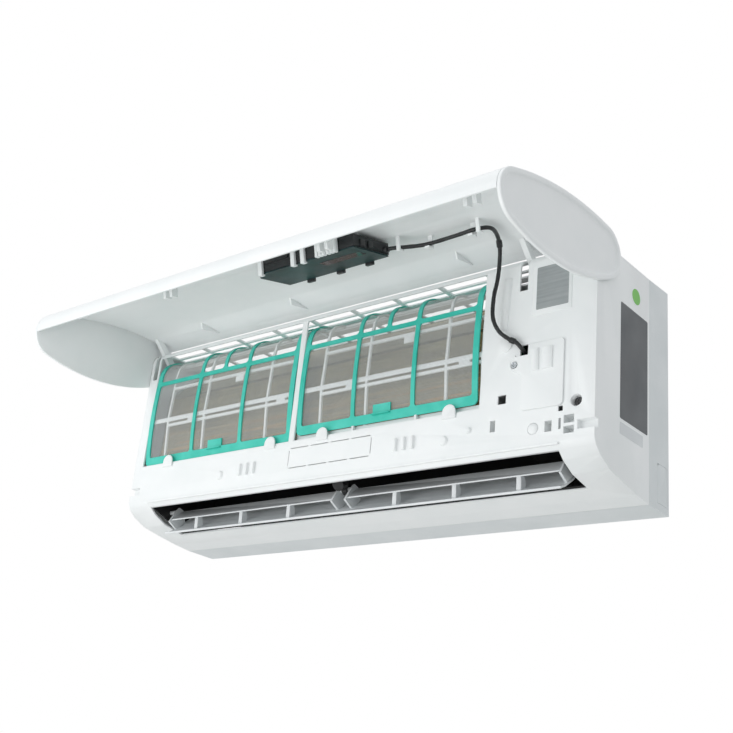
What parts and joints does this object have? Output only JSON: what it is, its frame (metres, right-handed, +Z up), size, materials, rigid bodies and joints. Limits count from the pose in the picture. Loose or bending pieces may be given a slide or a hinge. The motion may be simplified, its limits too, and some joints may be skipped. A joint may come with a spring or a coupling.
{
  "type": "split air conditioner indoor unit",
  "caption": "Wall-mounted mini split indoor unit with its front panel swung open over two framed filters, an open louver, air vanes and a cross-flow fan.",
  "frame": {"origin": "middle of the wall plate's back face, which lies on the wall", "axes": "+X along the unit to the viewer's right when facing it, +Y into the wall, +Z up"},
  "size_m": [0.782, 0.3921, 0.3052],
  "materials": {
    "white_abs": "moulded, satin gloss",
    "casing_abs": "moulded, fine matt grain",
    "black_plastic": "moulded, matt",
    "filter_plastic": "moulded, turquoise",
    "mesh_plastic": "fine woven mesh",
    "plate_steel": "galvanised",
    "coil_fins": "stacked fins on tubes",
    "coil_plate": "galvanised sheet with copper bends",
    "motor_paint": "plain",
    "screw_steel": "zinc plated",
    "board": "lacquered circuit board",
    "lead_rubber": "sheathed lead, slight sheen",
    "fan_plastic": "glass filled, matt",
    "louver_plastic": "moulded, satin",
    "display_plastic": "translucent teal board cover"
  },
  "bodies": {
    "cabinet": {"wall_plate": "plate_steel", "rear_casing": "casing_abs", "pipe_cover": "casing_abs", "front_frame": "white_abs", "wiring_cover": "white_abs", "cover_screw": "screw_steel", "frame_screw": "black_plastic", "air_duct": "black_plastic", "drain_pan": "casing_abs", "evaporator_lower": "coil_fins", "evaporator_upper": "coil_fins", "evaporator_rear": "coil_fins", "coil_plate_left": "coil_plate", "coil_plate_right": "coil_plate", "fan_bearing": "black_plastic", "fan_motor": "motor_paint", "motor_clamp": "casing_abs", "control_box": "white_abs", "control_board": "board", "terminal_block": "black_plastic", "display_lead": "lead_rubber", "louver_support": "black_plastic", "louver_motor": "plate_steel"},
    "panel": {"front_panel": "white_abs", "end_cap_left": "white_abs", "end_cap_right": "white_abs", "display_housing": "black_plastic", "display_cover": "display_plastic"},
    "louver": {"louver": "louver_plastic"},
    "fan": {"cross_flow_fan": "fan_plastic"},
    "filter_left": {"filter_left_frame": "filter_plastic", "filter_left_mesh": "mesh_plastic"},
    "filter_right": {"filter_right_frame": "filter_plastic", "filter_right_mesh": "mesh_plastic"},
    "button": {"manual_button": "white_abs"},
    "vane_left_1": {"vane_left_1": "black_plastic"},
    "vane_left_2": {"vane_left_2": "black_plastic"},
    "vane_left_3": {"vane_left_3": "black_plastic"},
    "vane_left_4": {"vane_left_4": "black_plastic"},
    "vane_left_5": {"vane_left_5": "black_plastic"},
    "vane_right_1": {"vane_right_1": "black_plastic"},
    "vane_right_2": {"vane_right_2": "black_plastic"},
    "vane_right_3": {"vane_right_3": "black_plastic"},
    "vane_right_4": {"vane_right_4": "black_plastic"},
    "vane_right_5": {"vane_right_5": "black_plastic"},
    "vane_link_left": {"vane_link_left": "black_plastic"},
    "vane_link_right": {"vane_link_right": "black_plastic"}
  },
  "joints": [
    {"name": "panel_hinge", "type": "hinge", "parent": "cabinet", "child": "panel", "pos_m": [0, -0.153, 0.121], "axis": [1, 0, 0], "range_deg": [0, 75], "deforming": ["display_lead"]},
    {"name": "louver_hinge", "type": "hinge", "parent": "cabinet", "child": "louver", "pos_m": [0, -0.133, -0.114], "axis": [1, 0, 0], "range_deg": [-58, 12]},
    {"name": "fan_spin", "type": "hinge", "parent": "cabinet", "child": "fan", "pos_m": [0, -0.086, -0.028], "axis": [1, 0, 0], "continuous": true},
    {"name": "filter_left_lift", "type": "slide", "parent": "cabinet", "child": "filter_left", "axis": [0, 0, 1], "range_m": [0, 0.005]},
    {"name": "filter_right_lift", "type": "slide", "parent": "cabinet", "child": "filter_right", "axis": [0, 0, 1], "range_m": [0, 0.005]},
    {"name": "button_press", "type": "slide", "parent": "cabinet", "child": "button", "axis": [0, 1, 0], "range_m": [0, 0.002], "stiffness_N_per_m": 400},
    {"name": "vane_left_1_swing", "type": "hinge", "parent": "cabinet", "child": "vane_left_1", "pos_m": [-0.292, -0.13573, -0.07009], "axis": [0, 0.6798, -0.7334], "range_deg": [-30, 30]},
    {"name": "vane_left_2_swing", "type": "hinge", "parent": "cabinet", "child": "vane_left_2", "pos_m": [-0.24, -0.13573, -0.07009], "axis": [0, 0.6798, -0.7334], "range_deg": [-30, 30]},
    {"name": "vane_left_3_swing", "type": "hinge", "parent": "cabinet", "child": "vane_left_3", "pos_m": [-0.188, -0.13573, -0.07009], "axis": [0, 0.6798, -0.7334], "range_deg": [-30, 30]},
    {"name": "vane_left_4_swing", "type": "hinge", "parent": "cabinet", "child": "vane_left_4", "pos_m": [-0.136, -0.13573, -0.07009], "axis": [0, 0.6798, -0.7334], "range_deg": [-30, 30]},
    {"name": "vane_left_5_swing", "type": "hinge", "parent": "cabinet", "child": "vane_left_5", "pos_m": [-0.084, -0.13573, -0.07009], "axis": [0, 0.6798, -0.7334], "range_deg": [-30, 30]},
    {"name": "vane_link_left_pivot", "type": "hinge", "parent": "vane_left_1", "child": "vane_link_left", "pos_m": [-0.292, -0.14673, -0.08029], "axis": [0, 0.6798, -0.7334], "range_deg": [-30, 30]},
    {"name": "vane_right_1_swing", "type": "hinge", "parent": "cabinet", "child": "vane_right_1", "pos_m": [0.058, -0.13573, -0.07009], "axis": [0, 0.6798, -0.7334], "range_deg": [-30, 30]},
    {"name": "vane_right_2_swing", "type": "hinge", "parent": "cabinet", "child": "vane_right_2", "pos_m": [0.11, -0.13573, -0.07009], "axis": [0, 0.6798, -0.7334], "range_deg": [-30, 30]},
    {"name": "vane_right_3_swing", "type": "hinge", "parent": "cabinet", "child": "vane_right_3", "pos_m": [0.162, -0.13573, -0.07009], "axis": [0, 0.6798, -0.7334], "range_deg": [-30, 30]},
    {"name": "vane_right_4_swing", "type": "hinge", "parent": "cabinet", "child": "vane_right_4", "pos_m": [0.214, -0.13573, -0.07009], "axis": [0, 0.6798, -0.7334], "range_deg": [-30, 30]},
    {"name": "vane_right_5_swing", "type": "hinge", "parent": "cabinet", "child": "vane_right_5", "pos_m": [0.266, -0.13573, -0.07009], "axis": [0, 0.6798, -0.7334], "range_deg": [-30, 30]},
    {"name": "vane_link_right_pivot", "type": "hinge", "parent": "vane_right_1", "child": "vane_link_right", "pos_m": [0.058, -0.14673, -0.08029], "axis": [0, 0.6798, -0.7334], "range_deg": [-30, 30]}
  ],
  "couplings": [
    {"joint": "vane_left_2_swing", "follows": "vane_left_1_swing", "ratio": 1},
    {"joint": "vane_left_3_swing", "follows": "vane_left_1_swing", "ratio": 1},
    {"joint": "vane_left_4_swing", "follows": "vane_left_1_swing", "ratio": 1},
    {"joint": "vane_left_5_swing", "follows": "vane_left_1_swing", "ratio": 1},
    {"joint": "vane_link_left_pivot", "follows": "vane_left_1_swing", "ratio": -1},
    {"joint": "vane_right_2_swing", "follows": "vane_right_1_swing", "ratio": 1},
    {"joint": "vane_right_3_swing", "follows": "vane_right_1_swing", "ratio": 1},
    {"joint": "vane_right_4_swing", "follows": "vane_right_1_swing", "ratio": 1},
    {"joint": "vane_right_5_swing", "follows": "vane_right_1_swing", "ratio": 1},
    {"joint": "vane_link_right_pivot", "follows": "vane_right_1_swing", "ratio": -1}
  ]
}
